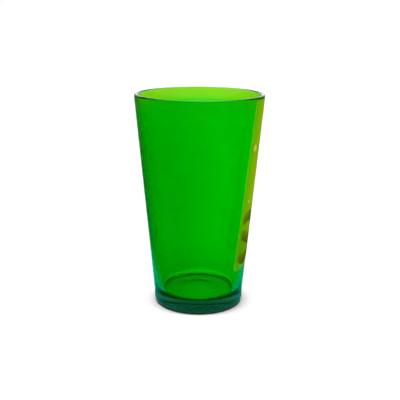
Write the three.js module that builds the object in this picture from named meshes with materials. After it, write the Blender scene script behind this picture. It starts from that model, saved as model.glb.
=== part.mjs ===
// A tapered drinking glass: a pressed glass body, a translucent colour coat on the outside of its
// wall, and a print on the coat. Millimetres, +Z up, origin at the middle of the face it stands on.
import * as THREE from 'three';

// Glass body
const HEIGHT = 149.2;
const MOUTH_DIAMETER = 88.9;
const FOOT_DIAMETER = 63.4;
const FOOT_HEIGHT = 9.5; // straight band under the tapered wall
const HEEL_RADIUS = 4; // rounding between the foot and the underside
const RING_WIDTH = 8; // flat ring that the glass stands on
const HOLLOW_DEPTH = 0.7; // shallow hollow inside the ring
const LIP_WALL = 2.8; // wall at the mouth, rounded over its full thickness
const FLOOR_WALL = 6.4; // wall at the level of the inside floor
const FLOOR_THICKNESS = 10;
const FLOOR_FILLET = 2.6; // rounding between the inside floor and the wall

// Colour coat
const COAT_THICKNESS = 0.25;
const COAT_OVER_LIP = THREE.MathUtils.degToRad(50); // how far it goes round the lip's outer half
const BARE_FOOT = 0.5; // glass left bare between the foot and the coat
const LAYER_GAP = 0.08; // between a layer and the one it lies on

// Print: a panel with swells across its lower end and bubbles above them
const PRINT_THICKNESS = 0.12;
const PANEL_WIDTH = 52; // measured round the wall
const PANEL_CORNER = 3;
const PANEL_BELOW_LIP = 2.6; // under the start of the lip's rounding
const PANEL_ABOVE_COAT_START = 18;
const PANEL_BORDER = 4; // from the panel's edge to what is printed on it
const SWELL_COUNT = 3;
const SWELL_HEIGHT = 8;
const SWELL_GAP = 1.6; // where a crest comes nearest the trough above it
const SWELL_RISE = 2.4; // from a swell's middle line to its crest
const SWELL_LENGTH = 30; // from crest to crest
const SWELL_SHIFT = 8; // of each swell's crests along the one below
const BUBBLE_COUNT = 8;
const BUBBLE_DIAMETER = 9.3; // of the largest one, at the top
const BUBBLE_SHRINK = 0.85; // of each bubble's diameter to that of the one above it
const BUBBLE_TURN = 2.4; // radians of sideways sway from one bubble to the next

// Facets
const FLATS = 72; // round the body
const ARC_STEPS = 8; // along each rounding of the body
const COAT_ARC_STEPS = 3; // along the coat's turn over the lip
const PRINT_STEP = THREE.MathUtils.degToRad(4); // widest facet of the print
const PANEL_ROWS = 16;
const SWELL_ROWS = 2;
const BUBBLE_CELLS = 6; // across a bubble

const footRadius = FOOT_DIAMETER / 2;
const mouthRadius = MOUTH_DIAMETER / 2;
const lipRadius = LIP_WALL / 2;
const lipLevel = HEIGHT - lipRadius;
const wallSlope = (mouthRadius - footRadius) / (lipLevel - FOOT_HEIGHT);
const wallRadius = (z) => footRadius + (z - FOOT_HEIGHT) * wallSlope;

function arc(centre, radius, from, to, steps = ARC_STEPS) {
  const points = [];
  for (let step = 0; step <= steps; step += 1) {
    const angle = from + ((to - from) * step) / steps;
    points.push(new THREE.Vector2(
      centre.x + radius * Math.cos(angle),
      centre.y + radius * Math.sin(angle),
    ));
  }
  return points;
}

// Points are (radius, height). The solid of revolution stands along +Z.
function revolve(points) {
  return new THREE.LatheGeometry(points, FLATS).rotateX(Math.PI / 2);
}

// The hollow is a shallow cap of a sphere, from the axis out to the standing ring.
function hollowArc() {
  const rim = footRadius - HEEL_RADIUS - RING_WIDTH;
  const sphere = (rim ** 2 + HOLLOW_DEPTH ** 2) / (2 * HOLLOW_DEPTH);
  const centre = new THREE.Vector2(0, HOLLOW_DEPTH - sphere);
  const points = arc(centre, sphere, Math.PI / 2, Math.acos(rim / sphere));
  points[0].x = 0;
  points[ARC_STEPS].y = 0;
  return points;
}

function heelArc() {
  const centre = new THREE.Vector2(footRadius - HEEL_RADIUS, HEEL_RADIUS);
  return arc(centre, HEEL_RADIUS, -Math.PI / 2, 0);
}

const lipCentre = new THREE.Vector2(mouthRadius - lipRadius, lipLevel);
const lipArc = () => arc(lipCentre, lipRadius, 0, Math.PI);

// The fillet touches the sloping inside wall and the flat floor.
function floorArc() {
  const corner = footRadius - FLOOR_WALL;
  const lean = Math.atan2(mouthRadius - LIP_WALL - corner, lipLevel - FLOOR_THICKNESS);
  const centre = new THREE.Vector2(
    corner + FLOOR_FILLET * (Math.tan(lean) - 1 / Math.cos(lean)),
    FLOOR_THICKNESS + FLOOR_FILLET,
  );
  return arc(centre, FLOOR_FILLET, -lean, -Math.PI / 2);
}

function glassBody() {
  return revolve([
    ...hollowArc(),
    ...heelArc(),
    new THREE.Vector2(footRadius, FOOT_HEIGHT),
    ...lipArc(),
    ...floorArc(),
    new THREE.Vector2(0, FLOOR_THICKNESS),
  ]);
}

const coatStart = FOOT_HEIGHT + BARE_FOOT;
const coatInside = (z) => wallRadius(z) + LAYER_GAP;
const coatOutside = (z) => coatInside(z) + COAT_THICKNESS;

// A sleeve on the wall, turned over the outer part of the lip.
function colourCoat() {
  const insideStart = new THREE.Vector2(coatInside(coatStart), coatStart);
  const outsideStart = new THREE.Vector2(coatOutside(coatStart), coatStart);
  const inside = lipRadius + LAYER_GAP;
  const outside = inside + COAT_THICKNESS;
  return revolve([
    insideStart,
    outsideStart,
    ...arc(lipCentre, outside, 0, COAT_OVER_LIP, COAT_ARC_STEPS),
    ...arc(lipCentre, inside, COAT_OVER_LIP, 0, COAT_ARC_STEPS),
    insideStart,
  ]);
}

// Each ink layer lies on the one below. A facet's middle is nearer the axis than its corners are, so
// the corners stand out by that much more.
const layerPitch = LAYER_GAP + PRINT_THICKNESS;
const inkInside = (z, layer) => (
  (coatOutside(z) + LAYER_GAP + layer * layerPitch) / Math.cos(PRINT_STEP / 2)
);
const columnsFor = (width, z) => Math.ceil(width / wallRadius(z) / PRINT_STEP);

// A closed patch of ink on the wall, with the print's middle line on +X. shape(s, t) gives the
// distance round the wall from that line and the height, for s across and t up the patch, 0 to 1.
function inkPatch(shape, columns, rows, layer) {
  const positions = [];
  const indices = [];
  const sheet = (columns + 1) * (rows + 1);
  const corner = (row, column) => row * (columns + 1) + column;
  for (const thickness of [0, PRINT_THICKNESS]) {
    for (let row = 0; row <= rows; row += 1) {
      for (let column = 0; column <= columns; column += 1) {
        const [place, z] = shape(column / columns, row / rows);
        const angle = place / wallRadius(z);
        const radius = inkInside(z, layer) + thickness;
        positions.push(radius * Math.cos(angle), radius * Math.sin(angle), z);
      }
    }
  }
  const face = (a, b, c, d) => indices.push(a, b, c, a, c, d);
  for (let row = 0; row < rows; row += 1) {
    for (let column = 0; column < columns; column += 1) {
      const a = corner(row, column);
      const b = corner(row, column + 1);
      const c = corner(row + 1, column + 1);
      const d = corner(row + 1, column);
      face(d, c, b, a);
      face(a + sheet, b + sheet, c + sheet, d + sheet);
    }
  }
  const side = (a, b) => face(a, b, b + sheet, a + sheet);
  for (let column = 0; column < columns; column += 1) {
    side(corner(0, column), corner(0, column + 1));
    side(corner(rows, column + 1), corner(rows, column));
  }
  for (let row = 0; row < rows; row += 1) {
    side(corner(row + 1, 0), corner(row, 0));
    side(corner(row, columns), corner(row + 1, columns));
  }
  const geometry = new THREE.BufferGeometry();
  geometry.setAttribute('position', new THREE.Float32BufferAttribute(positions, 3));
  geometry.setIndex(indices);
  return geometry;
}

const panelStart = coatStart + PANEL_ABOVE_COAT_START;
const panelEnd = lipLevel - PANEL_BELOW_LIP;
const innerWidth = PANEL_WIDTH - 2 * PANEL_BORDER;

// Rows crowd towards both ends, where the corners are rounded.
function printPanel() {
  const halfWidth = (z) => {
    const inCorner = PANEL_CORNER - Math.min(z - panelStart, panelEnd - z, PANEL_CORNER);
    return PANEL_WIDTH / 2 - PANEL_CORNER + Math.sqrt(PANEL_CORNER ** 2 - inCorner ** 2);
  };
  const shape = (s, t) => {
    const z = panelStart + ((panelEnd - panelStart) * (1 - Math.cos(Math.PI * t))) / 2;
    return [halfWidth(z) * (2 * s - 1), z];
  };
  return inkPatch(shape, columnsFor(PANEL_WIDTH, panelStart), PANEL_ROWS, 0);
}

// Shifted waves close in on each other by at most this much.
const swellClosing = 2 * SWELL_RISE * Math.abs(Math.sin((Math.PI * SWELL_SHIFT) / SWELL_LENGTH));
const swellPitch = SWELL_HEIGHT + swellClosing + SWELL_GAP;
const swellStart = panelStart + PANEL_BORDER + SWELL_RISE;
const swellEnd = swellStart + SWELL_COUNT * swellPitch + SWELL_RISE;

function printSwell(swell) {
  const start = swellStart + swell * swellPitch;
  const shape = (s, t) => {
    const place = innerWidth * (s - 0.5);
    const phase = (2 * Math.PI * (place - swell * SWELL_SHIFT)) / SWELL_LENGTH;
    return [place, start + SWELL_RISE * Math.cos(phase) + SWELL_HEIGHT * t];
  };
  return inkPatch(shape, columnsFor(innerWidth, start), SWELL_ROWS, 1);
}

// The bubbles are spread evenly between the swells and the panel's upper end.
const bubbleSum = (BUBBLE_DIAMETER * (1 - BUBBLE_SHRINK ** BUBBLE_COUNT)) / (1 - BUBBLE_SHRINK);
const bubbleGap = (panelEnd - PANEL_BORDER - swellEnd - bubbleSum) / (BUBBLE_COUNT - 1);

// A square of cells drawn out to a disc.
function printBubble(diameter, place, height) {
  const shape = (s, t) => {
    const x = 2 * s - 1;
    const y = 2 * t - 1;
    return [
      place + (diameter / 2) * x * Math.sqrt(1 - y ** 2 / 2),
      height + (diameter / 2) * y * Math.sqrt(1 - x ** 2 / 2),
    ];
  };
  return inkPatch(shape, BUBBLE_CELLS, BUBBLE_CELLS, 1);
}

const clearGlass = { color: 0xcfe8dc, roughness: 0.03, metalness: 0 };
const greenLacquer = { color: 0x00b000, roughness: 0.1, metalness: 0 };
const yellowInk = { color: 0x9ead08, roughness: 0.55, metalness: 0 };
const amberInk = { color: 0x9a7410, roughness: 0.55, metalness: 0 };
const paleInk = { color: 0xcfcf7b, roughness: 0.55, metalness: 0 };

const glass = new THREE.Group();

function addPiece(name, geometry, finish) {
  const mesh = new THREE.Mesh(geometry, new THREE.MeshStandardMaterial(finish));
  mesh.name = name;
  glass.add(mesh);
}

addPiece('glass_body', glassBody(), clearGlass);
addPiece('green_coat', colourCoat(), greenLacquer);
addPiece('print_panel', printPanel(), yellowInk);
for (let swell = 0; swell < SWELL_COUNT; swell += 1) {
  addPiece(`print_swell_${swell + 1}`, printSwell(swell), amberInk);
}
let bubbleTop = panelEnd - PANEL_BORDER;
for (let bubble = 0; bubble < BUBBLE_COUNT; bubble += 1) {
  const diameter = BUBBLE_DIAMETER * BUBBLE_SHRINK ** bubble;
  const place = ((innerWidth - diameter) / 2) * Math.sin(bubble * BUBBLE_TURN);
  addPiece(`print_bubble_${bubble + 1}`, printBubble(diameter, place, bubbleTop - diameter / 2), paleInk);
  bubbleTop -= diameter + bubbleGap;
}

export default glass;
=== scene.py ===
"""The looks of a tapered drinking glass: clear body, translucent green coat, and a print on the coat."""

import math

import bpy
from mathutils import Matrix, Vector


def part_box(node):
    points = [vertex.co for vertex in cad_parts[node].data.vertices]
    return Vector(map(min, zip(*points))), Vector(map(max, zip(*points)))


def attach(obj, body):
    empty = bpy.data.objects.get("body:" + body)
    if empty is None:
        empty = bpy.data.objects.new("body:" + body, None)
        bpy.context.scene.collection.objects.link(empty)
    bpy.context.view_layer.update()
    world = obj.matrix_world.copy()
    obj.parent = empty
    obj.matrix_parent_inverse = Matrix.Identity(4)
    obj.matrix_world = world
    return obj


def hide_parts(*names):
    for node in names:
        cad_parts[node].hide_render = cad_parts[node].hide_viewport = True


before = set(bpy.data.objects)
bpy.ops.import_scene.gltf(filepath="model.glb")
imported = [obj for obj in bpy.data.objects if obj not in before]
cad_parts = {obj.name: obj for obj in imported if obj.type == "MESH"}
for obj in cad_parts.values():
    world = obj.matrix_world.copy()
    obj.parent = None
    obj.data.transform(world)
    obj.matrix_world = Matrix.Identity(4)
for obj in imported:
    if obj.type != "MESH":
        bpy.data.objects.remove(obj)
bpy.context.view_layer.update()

MM = 0.001
body_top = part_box("glass_body")[1]
coat_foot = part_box("green_coat")[0]
panel_low, panel_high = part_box("print_panel")

# Glass body, as in the solids
HEIGHT = body_top.z
MOUTH_RADIUS = body_top.x
FOOT_RADIUS = 31.7 * MM
FOOT_HEIGHT = 9.5 * MM
HEEL_RADIUS = 4 * MM
RING_WIDTH = 8 * MM
HOLLOW_DEPTH = 0.7 * MM
LIP_RADIUS = 1.4 * MM
FLOOR_WALL = 6.4 * MM
FLOOR_THICKNESS = 10 * MM
FLOOR_FILLET = 2.6 * MM
LIP_LEVEL = HEIGHT - LIP_RADIUS
WALL_SLOPE = (MOUTH_RADIUS - FOOT_RADIUS) / (LIP_LEVEL - FOOT_HEIGHT)

# Films on the wall
COAT_START = coat_foot.z
COAT_OVER_LIP = math.radians(50)
COAT_LIFT = 0.06 * MM
COAT_THICKNESS = 0.06 * MM
INK_LIFT = 0.02 * MM
INK_THICKNESS = 0.04 * MM

# Print, with its middle line on +X
PANEL_WIDTH = 52 * MM
PANEL_CORNER = 3 * MM
PANEL_BORDER = 4 * MM
PANEL_OVERRUN = 2 * MM
PANEL_START = panel_low.z
PANEL_END = panel_high.z + PANEL_OVERRUN
INNER_WIDTH = PANEL_WIDTH - 2 * PANEL_BORDER
SWELL_HEIGHT = 8 * MM
SWELL_RISE = 2.4 * MM
SWELL_LENGTH = 30 * MM
SWELL_SHIFT = 8 * MM
SWELL_CORNER = 3 * MM
BUBBLE_TURN = 2.4

# Values on the print's meshes, for the ink: its tone, and 1 on the side towards the glass
TONE = "tone"
UNDER = "under"
TONE_RISE = 100 * MM

# Smoothness
AROUND = 256
ARC_STEPS = 20
RUN_STEP = 4 * MM
INK_COLUMNS = 64
PANEL_ROWS = 96
SWELL_ROWS = 8
BUBBLE_CELLS = 24
SHARP = math.radians(40)
ON_AXIS = 1e-9

# Clear glass
GLASS_IOR = 1.5
GLASS_GLINT = (0.1, 0.5, 0.2, 1)
GLASS_TINT = (0.0, 0.52, 0.38, 1)
GLASS_DENSITY = 90
WAVE_SCALE = 70
WAVE_DETAIL = 1
WAVE_STRETCH = (1, 1, 0.4)
WAVE_HEIGHT = 0.0015 * MM

# Green coat, with its colours from its lower edge, 0, to the top of the lip, 1
COAT_IOR = 1.04
COAT_GLINT = (0.3, 0.8, 0.4, 1)
COAT_COLOURS = [
    (0.0, (0.01, 0.86, 0.16)),
    (0.02, (0.006, 0.69, 0.002)),
    (0.15, (0.006, 0.81, 0.002)),
    (0.92, (0.006, 0.735, 0.002)),
    (0.96, (0.23, 0.69, 0.004)),
    (1.0, (0.27, 0.71, 0.005)),
]
STREAK_SCALE = 28
STREAK_DETAIL = 2
STREAK_STRETCH = (1, 1, 0.12)
STREAKS = (0.95, 1.04)
# The film is darker to the left and lighter to the right, less so towards the lip
SIDE_CHANGE = (-0.145, 0.07)
SIDE_CHANGE_FADES_FROM = 0.75 * HEIGHT
SIDE_CHANGE_AT_LIP = 0.2
# Edge-on deep green: partly the longer path through the film, partly painted shade for the wall's dark edges
DEEP_GREEN_AND_EDGE_SHADE = (0.004, 0.5, 0.02, 1)
DEEP_AND_SHADED_EDGE = (0.5, 0.8)
# Painted teal light on the film's edges near the foot, for light that comes up through the bare glass
PAINTED_TEAL_LIGHT = (0.03, 0.8, 0.5, 1)
PAINTED_TEAL_HEIGHT = 70 * MM
PAINTED_TEAL_EDGE = (0.3, 0.9)
PAINTED_TEAL_BLEND = 0.25

# Ink, with its colours by tone
YELLOWS = [
    (0.0, (0.02, 0.39, 0.001)),
    (0.07, (0.06, 0.39, 0.001)),
    (0.18, (0.125, 0.39, 0.001)),
    (0.36, (0.2, 0.39, 0.001)),
    (0.65, (0.26, 0.4, 0.001)),
    (1.0, (0.34, 0.42, 0.003)),
]
YELLOW_BACKING = (0.8, 0.95, 0.02, 1)
AMBERS = [(0.0, (0.07, 0.13, 0.002)), (0.55, (0.11, 0.18, 0.003)), (1.0, (0.15, 0.24, 0.004))]
PALE = (0.5, 0.58, 0.08)
PALE_OUTER = (0.42, 0.5, 0.04)
PALE_RIM = (0.24, 0.32, 0.004)
PALES = [(0.0, PALE), (0.55, PALE), (0.74, PALE_OUTER), (0.8, PALE_RIM), (1.0, PALE_RIM)]
# Painted shade low on the print: the ink's strength at the panel's foot, and the height over which it rises
# to full
PAINTED_SHADE_AT_FOOT = 0.66
PAINTED_SHADE_HEIGHT = 50 * MM
MOTTLE_SCALE = 180
MOTTLE_DETAIL = 5
MOTTLE = (0.81, 0.98)
GRAIN_SCALE = 2500
GRAIN_DETAIL = 3
GRAIN_ROUGHNESS = (0.45, 0.65)
GRAIN_HEIGHT = 0.004 * MM
DOT_PITCH = 1.1 * MM
DOT_EDGE = 0.1
FADE = 2 * MM

# Floor, and the shadow of the foot on it
FLOOR_HALF = 30
FLOOR_DROP = 0.02 * MM
FLOOR_WHITE = (0.98, 0.98, 0.98, 1)
SHADE_BLACK = (0, 0, 0, 1)
SHADE_HEIGHT = 8 * MM
SHADE_INSET = 0.1 * MM
SHADE_THICKNESS = 0.5 * MM
SHADE_INSIDE = 27.8 * MM
SHADE_GAP = 0.3 * MM
SHADE_FRONT = 1.2 * MM
SHADE_FROM = math.radians(-27)
SHADE_NARROWING = 4

# Studio light, where 1 is white, by the height of the direction: -1 straight down, 0 level, 1 straight up
WHITE = (1, 1, 1)
UNDERNEATH = (0, 0.02, 0.02)
BELOW_NEAR = (0.03, 0.4, 0.36)
BELOW_MIDDLE = (0.1, 0.12, 0.12)
BELOW_FAR = (0.4, 0.4, 0.4)
SIDES = (1.4, 1.4, 1.4)
OVERHEAD = (0.6, 0.6, 0.6)
STUDIO = [
    (-0.7, UNDERNEATH), (-0.5, BELOW_NEAR), (-0.4, BELOW_NEAR), (-0.24, BELOW_MIDDLE), (-0.08, BELOW_FAR),
    (-0.02, WHITE), (0.02, WHITE), (0.06, SIDES), (0.3, SIDES), (0.5, OVERHEAD),
]
KEY_FROM = (-0.15, 0.1, 0.8)
KEY_LEVEL = 1.35
KEY_RIM = 0.55
BOUNCES = 32
GLOSSY_BOUNCES = 16

# Camera, fitted to the outline in the photograph
CAMERA_ELEVATION = math.radians(14.9)
CAMERA_DISTANCE = 0.503
CAMERA_ROLL = math.radians(0.38)
CAMERA_REACH = 100
FOCAL_PIXELS = 711
FRAME_PIXELS = 400
CENTRE_X_PIXELS = -1.15
CENTRE_Y_PIXELS = -0.9
SENSOR = 36


def wall_radius(z):
    """Radius of the outside of the tapered wall."""
    return FOOT_RADIUS + (z - FOOT_HEIGHT) * WALL_SLOPE


def arc(centre, radius, start, end):
    """Points (radius, height) along an arc, with angles in radians."""
    points = []
    for step in range(ARC_STEPS + 1):
        angle = start + (end - start) * step / ARC_STEPS
        points.append((centre[0] + radius * math.cos(angle), centre[1] + radius * math.sin(angle)))
    return points


def with_runs(points):
    """The points with long straight runs divided, so that shading stays true along them."""
    divided = [points[0]]
    for start, end in zip(points, points[1:]):
        parts = max(1, math.ceil(math.dist(start, end) / RUN_STEP))
        for part in range(1, parts + 1):
            share = part / parts
            divided.append((start[0] + (end[0] - start[0]) * share, start[1] + (end[1] - start[1]) * share))
    return divided


def corner_cut(radius, distance):
    """How much a rounded corner takes off an edge, at a distance from the end of that edge."""
    in_corner = radius - min(distance, radius)
    return radius - math.sqrt(max(0, radius ** 2 - in_corner ** 2))


def add_mesh(name, vertices, faces):
    """A piece that is smooth except at sharp edges."""
    mesh = bpy.data.meshes.new(name)
    mesh.from_pydata(vertices, [], faces)
    mesh.shade_smooth()
    mesh.set_sharp_from_angle(angle=SHARP)
    piece = bpy.data.objects.new(name, mesh)
    bpy.context.scene.collection.objects.link(piece)
    return piece


def revolve(name, points, closed=False):
    """A smooth body of revolution. A profile runs from the axis to the axis, or closes on itself."""
    vertices, rings = [], []
    for radius, height in points:
        if radius < ON_AXIS:
            rings.append([len(vertices)])
            vertices.append((0, 0, height))
            continue
        rings.append(range(len(vertices), len(vertices) + AROUND))
        for step in range(AROUND):
            angle = 2 * math.pi * step / AROUND
            vertices.append((radius * math.cos(angle), radius * math.sin(angle), height))
    pairs = list(zip(rings, rings[1:]))
    if closed:
        pairs.append((rings[-1], rings[0]))
    faces = []
    for lower, upper in pairs:
        for step in range(AROUND):
            after = (step + 1) % AROUND
            if len(lower) == 1:
                faces.append((lower[0], upper[after], upper[step]))
            elif len(upper) == 1:
                faces.append((lower[step], lower[after], upper[0]))
            else:
                faces.append((lower[step], lower[after], upper[after], upper[step]))
    return add_mesh(name, vertices, faces)


def glass_body():
    """The profile goes from the middle of the underside round the heel, wall and lip to the inside floor."""
    hollow = FOOT_RADIUS - HEEL_RADIUS - RING_WIDTH
    sphere = (hollow ** 2 + HOLLOW_DEPTH ** 2) / (2 * HOLLOW_DEPTH)
    points = arc((0, HOLLOW_DEPTH - sphere), sphere, math.pi / 2, math.acos(hollow / sphere))
    points[0] = (0, HOLLOW_DEPTH)
    points += arc((FOOT_RADIUS - HEEL_RADIUS, HEEL_RADIUS), HEEL_RADIUS, -math.pi / 2, 0)
    points.append((FOOT_RADIUS, FOOT_HEIGHT))
    points += arc((MOUTH_RADIUS - LIP_RADIUS, LIP_LEVEL), LIP_RADIUS, 0, math.pi)
    corner = FOOT_RADIUS - FLOOR_WALL
    lean = math.atan2(MOUTH_RADIUS - 2 * LIP_RADIUS - corner, LIP_LEVEL - FLOOR_THICKNESS)
    fillet = corner + FLOOR_FILLET * (math.tan(lean) - 1 / math.cos(lean))
    points += arc((fillet, FLOOR_THICKNESS + FLOOR_FILLET), FLOOR_FILLET, -lean, -math.pi / 2)
    points.append((0, FLOOR_THICKNESS))
    return revolve("glass_body_smooth", with_runs(points))


def green_coat():
    """A film on the wall, turned over the outer part of the lip."""
    lip = (MOUTH_RADIUS - LIP_RADIUS, LIP_LEVEL)
    inside = LIP_RADIUS + COAT_LIFT
    outside = inside + COAT_THICKNESS
    foot = wall_radius(COAT_START) + COAT_LIFT
    outer_side = with_runs([(foot + COAT_THICKNESS, COAT_START)] + arc(lip, outside, 0, COAT_OVER_LIP))
    inner_side = with_runs(arc(lip, inside, COAT_OVER_LIP, 0) + [(foot, COAT_START)])
    return revolve("green_coat_smooth", outer_side + inner_side, closed=True)


def ink_patch(name, shape, tone, columns, rows, layer):
    """A closed film of ink. shape(s, t) gives the distance round the wall from +X and the height, and
    tone(place, z) the value that the ink's material reads, for s across and t up the patch, 0 to 1."""
    lift = COAT_LIFT + COAT_THICKNESS + INK_LIFT + layer * (INK_LIFT + INK_THICKNESS)
    places = []
    for row in range(rows + 1):
        for column in range(columns + 1):
            places.append(shape(column / columns, row / rows))
    vertices = []
    for depth in (lift, lift + INK_THICKNESS):
        for place, z in places:
            angle = place / wall_radius(z)
            radius = wall_radius(z) + depth
            vertices.append((radius * math.cos(angle), radius * math.sin(angle), z))
    sheet = len(places)
    across = columns + 1
    faces = []
    for row in range(rows):
        for column in range(columns):
            a = row * across + column
            quad = (a, a + 1, a + 1 + across, a + across)
            faces.append(tuple(reversed(quad)))
            faces.append(tuple(corner + sheet for corner in quad))
    border = list(range(columns))
    border += [row * across + columns for row in range(rows)]
    border += [rows * across + column for column in range(columns, 0, -1)]
    border += [row * across for row in range(rows, 0, -1)]
    for a, b in zip(border, border[1:] + border[:1]):
        faces.append((a, b, b + sheet, a + sheet))
    patch = add_mesh(name, vertices, faces)
    tones = [tone(place, z) for place, z in places]
    for value_name, values in ((TONE, tones + tones), (UNDER, [1] * sheet + [0] * sheet)):
        patch.data.attributes.new(value_name, "FLOAT", "POINT").data.foreach_set("value", values)
    return patch


def print_panel():
    """The ground of the print, with rounded corners that rows crowd towards. The tone is the lesser of two
    rises: from the sides to the middle line, and up from the lower edge."""
    def shape(s, t):
        z = PANEL_START + (PANEL_END - PANEL_START) * (1 - math.cos(math.pi * t)) / 2
        half = PANEL_WIDTH / 2 - corner_cut(PANEL_CORNER, min(z - PANEL_START, PANEL_END - z))
        return half * (2 * s - 1), z

    def tone(place, z):
        return min(1 - abs(place) / (PANEL_WIDTH / 2), (z - PANEL_START) / TONE_RISE)

    return ink_patch("print_panel_smooth", shape, tone, INK_COLUMNS, PANEL_ROWS, 0)


def print_swell(number, node):
    """A wave across the panel, with rounded ends that columns crowd towards. The tone runs from 0 at its
    lower edge to 1 at its upper edge."""
    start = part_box(node)[0].z + SWELL_RISE

    def lower_edge(place):
        return start + SWELL_RISE * math.cos(2 * math.pi * (place - number * SWELL_SHIFT) / SWELL_LENGTH)

    def shape(s, t):
        place = -INNER_WIDTH / 2 * math.cos(math.pi * s)
        cut = corner_cut(SWELL_CORNER, INNER_WIDTH / 2 - abs(place))
        return place, lower_edge(place) + cut + (SWELL_HEIGHT - 2 * cut) * t

    def tone(place, z):
        return (z - lower_edge(place)) / SWELL_HEIGHT

    return ink_patch(node + "_smooth", shape, tone, INK_COLUMNS, SWELL_ROWS, 1)


def print_bubble(number, node):
    """A square of cells drawn out to a disc. The tone runs from 0 in the middle to 1 at the rim."""
    low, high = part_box(node)
    radius = (high.z - low.z) / 2
    middle = (high.z + low.z) / 2
    sideways = (INNER_WIDTH / 2 - radius) * math.sin(number * BUBBLE_TURN)

    def shape(s, t):
        x, y = 2 * s - 1, 2 * t - 1
        across = radius * x * math.sqrt(1 - y * y / 2)
        up = radius * y * math.sqrt(1 - x * x / 2)
        return sideways + across, middle + up

    def tone(place, z):
        return math.hypot(place - sideways, z - middle) / radius

    return ink_patch(node + "_smooth", shape, tone, BUBBLE_CELLS, BUBBLE_CELLS, 1)


class Shading:
    """The nodes of a material or a world. A value or colour handed on here is an output of one of them."""

    NOISE_RANGE = (0.3, 0.7)

    def __init__(self, owner):
        owner.use_nodes = True
        self.nodes = owner.node_tree.nodes
        self.links = owner.node_tree.links
        self.nodes.clear()

    def add(self, kind, **inputs):
        """A node whose named inputs are set to numbers or colours."""
        node = self.nodes.new("ShaderNode" + kind)
        for name, value in inputs.items():
            node.inputs[name.replace("_", " ")].default_value = value
        return node

    def join(self, value, node, name):
        self.links.new(value, node.inputs[name])

    def maths(self, operation, *values):
        """The outcome of an operation on values or plain numbers."""
        node = self.add("Math")
        node.operation = operation
        for place, value in enumerate(values):
            if isinstance(value, (int, float)):
                node.inputs[place].default_value = value
            else:
                self.join(value, node, place)
        return node.outputs[0]

    def ranged(self, value, source, target=(0, 1), interpolation="LINEAR"):
        """The value carried from one range, (low, high), to another, and held at its ends."""
        (low, high), (least, most) = source, target
        node = self.add("MapRange", From_Min=low, From_Max=high, To_Min=least, To_Max=most)
        node.interpolation_type = interpolation
        self.join(value, node, "Value")
        return node.outputs["Result"]

    def place(self):
        """The place in the object's own space."""
        return self.add("TexCoord").outputs["Object"]

    def part(self, vector, axis):
        """The part of a vector along X, Y or Z."""
        node = self.add("SeparateXYZ")
        self.join(vector, node, "Vector")
        return node.outputs[axis]

    def along(self, axis, low, high, target=(0, 1)):
        """A value that goes from one end of the target to the other between two places along an axis."""
        return self.ranged(self.part(self.place(), axis), (low, high), target)

    def mapped(self, vector, **inputs):
        """The vector scaled and turned."""
        node = self.add("Mapping", **inputs)
        self.join(vector, node, "Vector")
        return node.outputs["Vector"]

    def noise(self, scale, detail, stretch=(1, 1, 1)):
        """Noise with features about 1 / scale metres wide before the stretch."""
        texture = self.add("TexNoise", Scale=scale, Detail=detail)
        self.join(self.mapped(self.place(), Scale=stretch), texture, "Vector")
        return texture.outputs["Fac"]

    def spread(self, noise, target):
        """Noise with its usual range drawn out to the target."""
        return self.ranged(noise, self.NOISE_RANGE, target)

    def bump(self, height, distance):
        """A bump of that height in metres where the value goes from 0 to 1."""
        relief = self.add("Bump", Distance=distance)
        self.join(height, relief, "Height")
        return relief.outputs["Normal"]

    def edge_on(self):
        """0 where the surface is seen face-on, 1 where it is seen edge-on."""
        return self.add("LayerWeight").outputs["Facing"]

    def attribute(self, name):
        """A value kept on the mesh."""
        source = self.add("Attribute")
        source.attribute_name = name
        return source.outputs["Fac"]

    def ramp(self, value, stops):
        """A colour from a ramp through (position, colour) stops."""
        node = self.add("ValToRGB")
        elements = node.color_ramp.elements
        while len(elements) < len(stops):
            elements.new(1)
        for element, (position, colour) in zip(elements, stops):
            element.position = position
            element.color = (*colour, 1)
        self.join(value, node, "Fac")
        return node.outputs["Color"]

    def times(self, colour, value):
        """The colour made brighter or darker by a value."""
        node = self.add("VectorMath")
        node.operation = "SCALE"
        self.join(colour, node, "Vector")
        self.join(value, node, "Scale")
        return node.outputs["Vector"]

    def mixed(self, share, colour, other):
        """The colour, which goes over to another, fixed one as the share goes from 0 to 1."""
        node = self.add("MixRGB", Color2=other)
        self.join(share, node, "Fac")
        self.join(colour, node, "Color1")
        return node.outputs["Color"]

    def finish(self, kind, **shaders):
        """The output of a Material or a World."""
        output = self.add("Output" + kind)
        for name, shader in shaders.items():
            self.join(shader.outputs[0], output, name)


def clear_glass():
    """Pressed glass with an aqua tint through its depth and long waves in its surface."""
    material = bpy.data.materials.new("clear_glass")
    shading = Shading(material)
    clear = {"Roughness": 0, "IOR": GLASS_IOR, "Transmission_Weight": 1}
    glass = shading.add("BsdfPrincipled", Base_Color=(*WHITE, 1), Specular_Tint=GLASS_GLINT, **clear)
    waves = shading.noise(WAVE_SCALE, WAVE_DETAIL, WAVE_STRETCH)
    shading.join(shading.bump(waves, WAVE_HEIGHT), glass, "Normal")
    tint = shading.add("VolumeAbsorption", Color=GLASS_TINT, Density=GLASS_DENSITY)
    shading.finish("Material", Surface=glass, Volume=tint)
    return material


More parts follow.
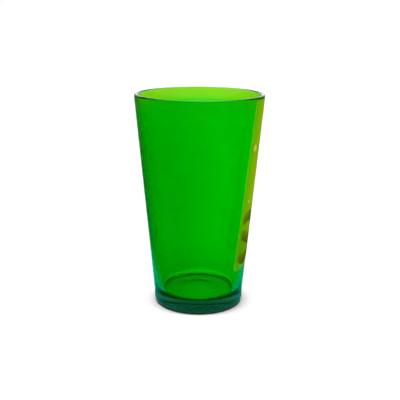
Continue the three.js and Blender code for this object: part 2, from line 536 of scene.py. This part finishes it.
def green_lacquer():
    """A see-through film, thinner and yellower at the lip and darker to the left, with faint upright streaks.
    Edge-on it turns deep green, partly from the longer path through the film and partly as painted shade for
    the dark edges; near the foot its edges are painted teal, a painted glow of light coming up through the
    bare glass."""
    material = bpy.data.materials.new("green_lacquer")
    shading = Shading(material)
    clear = {"Roughness": 0, "IOR": COAT_IOR, "Transmission_Weight": 1}
    film = shading.add("BsdfPrincipled", Specular_Tint=COAT_GLINT, **clear)
    colour = shading.ramp(shading.along("Z", COAT_START, HEIGHT), COAT_COLOURS)
    streaks = shading.noise(STREAK_SCALE, STREAK_DETAIL, STREAK_STRETCH)
    colour = shading.times(colour, shading.spread(streaks, STREAKS))
    sideways = shading.along("X", -MOUTH_RADIUS, MOUTH_RADIUS, SIDE_CHANGE)
    upward = shading.along("Z", SIDE_CHANGE_FADES_FROM, HEIGHT, (1, SIDE_CHANGE_AT_LIP))
    colour = shading.times(colour, shading.maths("MULTIPLY_ADD", sideways, upward, 1))
    # Painted shade and painted light by view angle: deep green edge-on, and painted teal edge-on near the
    # foot
    edge = shading.edge_on()
    colour = shading.mixed(shading.ranged(edge, DEEP_AND_SHADED_EDGE), colour, DEEP_GREEN_AND_EDGE_SHADE)
    threshold = shading.along("Z", COAT_START, PAINTED_TEAL_HEIGHT, PAINTED_TEAL_EDGE)
    past = shading.maths("SUBTRACT", edge, threshold)
    colour = shading.mixed(shading.ranged(past, (0, PAINTED_TEAL_BLEND)), colour, PAINTED_TEAL_LIGHT)
    shading.join(colour, film, "Base Color")
    shading.finish("Material", Surface=film)
    return material


def dots(shading):
    """A screen of round dots, set at 45 degrees: 0 and 1 alternate at the dot pitch."""
    turns = 2 * math.pi / DOT_PITCH
    turned = shading.mapped(shading.place(), Rotation=(math.pi / 4, 0, 0), Scale=(1, turns, turns))
    waves = [shading.maths("SINE", shading.part(turned, axis)) for axis in "YZ"]
    return shading.ranged(shading.maths("MULTIPLY", *waves), (-1, 1))


def faded(shading, tone):
    """Cover that falls to nothing at the panel's edge, as dots that shrink."""
    cover = shading.ranged(tone, (0, FADE / (PANEL_WIDTH / 2)))
    return shading.ranged(shading.maths("SUBTRACT", cover, dots(shading)), (-DOT_EDGE, DOT_EDGE))


def ink(name, stops, backing=None):
    """Screen ink coloured by the patch's tone, with painted shade that darkens it low on the glass, a mottled
    lay-down and a fine grain. Ink with a backing shows that colour on the side towards the glass, and fades
    at its edge."""
    material = bpy.data.materials.new(name)
    shading = Shading(material)
    film = shading.add("BsdfPrincipled", Specular_IOR_Level=0)
    tone = shading.attribute(TONE)
    # Painted shade: the ink darkens towards the panel's foot
    low = shading.along("Z", PANEL_START, PANEL_START + PAINTED_SHADE_HEIGHT, (PAINTED_SHADE_AT_FOOT, 1))
    mottle = shading.spread(shading.noise(MOTTLE_SCALE, MOTTLE_DETAIL), MOTTLE)
    colour = shading.times(shading.times(shading.ramp(tone, stops), low), mottle)
    if backing:
        colour = shading.mixed(shading.attribute(UNDER), colour, backing)
        shading.join(faded(shading, tone), film, "Alpha")
    shading.join(colour, film, "Base Color")
    grain = shading.noise(GRAIN_SCALE, GRAIN_DETAIL)
    shading.join(shading.spread(grain, GRAIN_ROUGHNESS), film, "Roughness")
    shading.join(shading.bump(grain, GRAIN_HEIGHT), film, "Normal")
    shading.finish("Material", Surface=film)
    return material


def yellow_ink():
    return ink("yellow_ink", YELLOWS, YELLOW_BACKING)


def amber_ink():
    return ink("amber_ink", AMBERS)


def pale_ink():
    return ink("pale_ink", PALES)


def dull(name, colour):
    """A plain matt material."""
    material = bpy.data.materials.new(name)
    shading = Shading(material)
    shading.finish("Material", Surface=shading.add("BsdfDiffuse", Color=colour))
    return material


def dress(piece, node, material):
    """Puts a piece in the place of a node of the frame. It casts no shadow, and light on its way between matt
    surfaces doesn't meet it."""
    piece.data.materials.append(material)
    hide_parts(node)
    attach(piece, "root")
    piece.visible_diffuse = False
    piece.visible_shadow = False


def nodes_named(start):
    return sorted(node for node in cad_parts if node.startswith(start))


def add_glass():
    dress(glass_body(), "glass_body", clear_glass())
    dress(green_coat(), "green_coat", green_lacquer())


def add_print():
    amber, pale = amber_ink(), pale_ink()
    dress(print_panel(), "print_panel", yellow_ink())
    for number, node in enumerate(nodes_named("print_swell_")):
        dress(print_swell(number, node), node, amber)
    for number, node in enumerate(nodes_named("print_bubble_")):
        dress(print_bubble(number, node), node, pale)


def add_floor():
    """A wide white floor that reflections don't show."""
    square = [(-1, -1), (1, -1), (1, 1), (-1, 1)]
    corners = [(x * FLOOR_HALF, y * FLOOR_HALF, -FLOOR_DROP) for x, y in square]
    floor = add_mesh("floor", corners, [(0, 1, 2, 3)])
    floor.data.materials.append(dull("floor_white", FLOOR_WHITE))
    floor.visible_glossy = False


def add_foot_shade():
    """Casts the thick foot's soft shadow. Light passes the glass and its films, and only this stops
    some. It is low in front, and its gap to the floor closes there."""
    heel = (FOOT_RADIUS - HEEL_RADIUS, HEEL_RADIUS)
    outside = HEEL_RADIUS - SHADE_INSET
    inside = outside - SHADE_THICKNESS
    points = arc(heel, outside, SHADE_FROM, 0)
    points += [(heel[0] + outside, SHADE_HEIGHT), (heel[0] + inside, SHADE_HEIGHT)]
    points += arc(heel, inside, 0, SHADE_FROM)
    points += [(SHADE_INSIDE, points[-1][1]), (SHADE_INSIDE, 0), (points[0][0], SHADE_GAP)]
    shade = revolve("foot_shade", points, closed=True)
    for vertex in shade.data.vertices:
        front = max(0, -vertex.co.y / FOOT_RADIUS) ** SHADE_NARROWING
        if vertex.co.z > SHADE_FRONT:
            vertex.co.z += (SHADE_FRONT - vertex.co.z) * front
        elif vertex.co.z <= SHADE_GAP:
            vertex.co.z *= 1 - front
    shade.data.materials.append(dull("shade_black", SHADE_BLACK))
    shade.visible_camera = False
    shade.visible_glossy = False
    shade.visible_transmission = False


def add_world():
    """Bright sides and a large soft light overhead, a little from the left and from behind. What lies below
    the horizon shows only as reflections in the glass."""
    world = bpy.data.worlds.new("studio")
    shading = Shading(world)
    way = shading.add("TexCoord").outputs["Generated"]
    height = shading.ranged(shading.part(way, "Z"), (-1, 1))
    fill = shading.add("Background")
    shading.join(shading.ramp(height, [((z + 1) / 2, colour) for z, colour in STUDIO]), fill, "Color")
    toward = shading.add("VectorMath")
    toward.operation = "DOT_PRODUCT"
    toward.inputs[1].default_value = Vector(KEY_FROM).normalized()
    shading.join(way, toward, 0)
    level = shading.ranged(toward.outputs["Value"], (KEY_RIM, 1), (0, KEY_LEVEL), "SMOOTHSTEP")
    key = shading.add("Background")
    shading.join(level, key, "Strength")
    both = shading.add("AddShader")
    shading.join(fill.outputs[0], both, 0)
    shading.join(key.outputs[0], both, 1)
    shading.finish("World", Surface=both)
    bpy.context.scene.world = world


def add_camera():
    data = bpy.data.cameras.new("camera")
    camera = bpy.data.objects.new("camera", data)
    bpy.context.scene.collection.objects.link(camera)
    data.sensor_width = SENSOR
    data.lens = SENSOR * FOCAL_PIXELS / FRAME_PIXELS
    data.clip_end = CAMERA_REACH
    target = Vector((0, 0, HEIGHT / 2))
    back = Vector((0, -math.cos(CAMERA_ELEVATION), math.sin(CAMERA_ELEVATION)))
    turn = (-back).to_track_quat("-Z", "Y").to_matrix().to_4x4() @ Matrix.Rotation(CAMERA_ROLL, 4, "Z")
    camera.matrix_world = Matrix.Translation(target + back * CAMERA_DISTANCE) @ turn
    data.shift_x = -CENTRE_X_PIXELS / FRAME_PIXELS
    data.shift_y = CENTRE_Y_PIXELS / FRAME_PIXELS
    bpy.context.scene.camera = camera


def set_up_scene():
    """Colours as they are written, and enough bounces for light to go through every layer of the glass."""
    scene = bpy.context.scene
    scene.view_settings.view_transform = "Standard"
    scene.cycles.max_bounces = BOUNCES
    scene.cycles.transmission_bounces = BOUNCES
    scene.cycles.glossy_bounces = GLOSSY_BOUNCES
    scene.cycles.transparent_max_bounces = BOUNCES


set_up_scene()
add_glass()
add_print()
add_floor()
add_foot_shade()
add_world()
add_camera()
